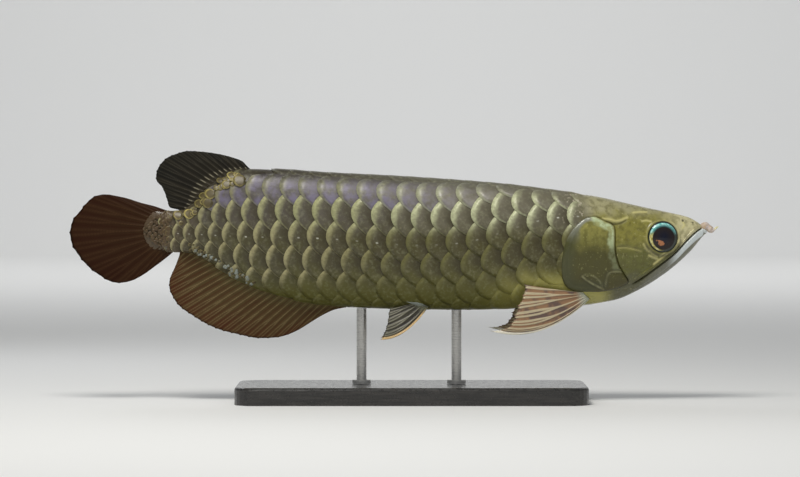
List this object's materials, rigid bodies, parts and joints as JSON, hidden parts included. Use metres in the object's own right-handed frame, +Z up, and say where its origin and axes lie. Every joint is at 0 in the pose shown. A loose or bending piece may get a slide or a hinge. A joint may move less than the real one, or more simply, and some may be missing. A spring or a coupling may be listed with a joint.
{
  "type": "asian arowana display model",
  "caption": "Still, life-size Asian arowana with large overlapping scales, upturned jaw, chin barbels and rayed fins, held level over a flat base by short rods.",
  "frame": {"origin": "on the underside of the stand's base, under the middle of the fish's length and on its midline", "axes": "+X towards the head, +Y towards the fish's left side, so the right side faces -Y, +Z up; the fish lies level"},
  "size_m": [0.5198, 0.116, 0.2008],
  "materials": {
    "head_skin": "moist golden green skin over bone",
    "jaw_skin": "moist pale green-grey skin with a bluish white lip",
    "gill_plate": "smooth olive gold plate with a blue-green sheen",
    "eye": "clear wet eye, dark pupil in a gold and turquoise ring",
    "barbel": "soft pinkish skin",
    "body_scales": "satin pearly scales, olive brown with pale gold rims",
    "dorsal_fin": "thin dark grey-brown membrane",
    "anal_fin": "thin olive to red-brown membrane",
    "tail_fin": "thin dark red-brown membrane",
    "paired_fin": "thin cream and orange-brown striped membrane",
    "stand_base": "satin black",
    "stand_rod": "brushed"
  },
  "bodies": {
    "root": {"head": "head_skin", "lower_jaw": "jaw_skin", "gill_cover_R": "gill_plate", "gill_cover_L": "gill_plate", "eye_R": "eye", "eye_L": "eye", "barbel_R": "barbel", "barbel_L": "barbel", "trunk": "body_scales", "tail_trunk": "body_scales", "dorsal_fin": "dorsal_fin", "anal_fin": "anal_fin", "tail_fin": "tail_fin", "pectoral_fin_R": "paired_fin", "pectoral_fin_L": "paired_fin", "pelvic_fin_R": "paired_fin", "pelvic_fin_L": "paired_fin", "stand_base": "stand_base", "stand_rod_rear": "stand_rod", "stand_rod_front": "stand_rod"}
  },
  "joints": []
}
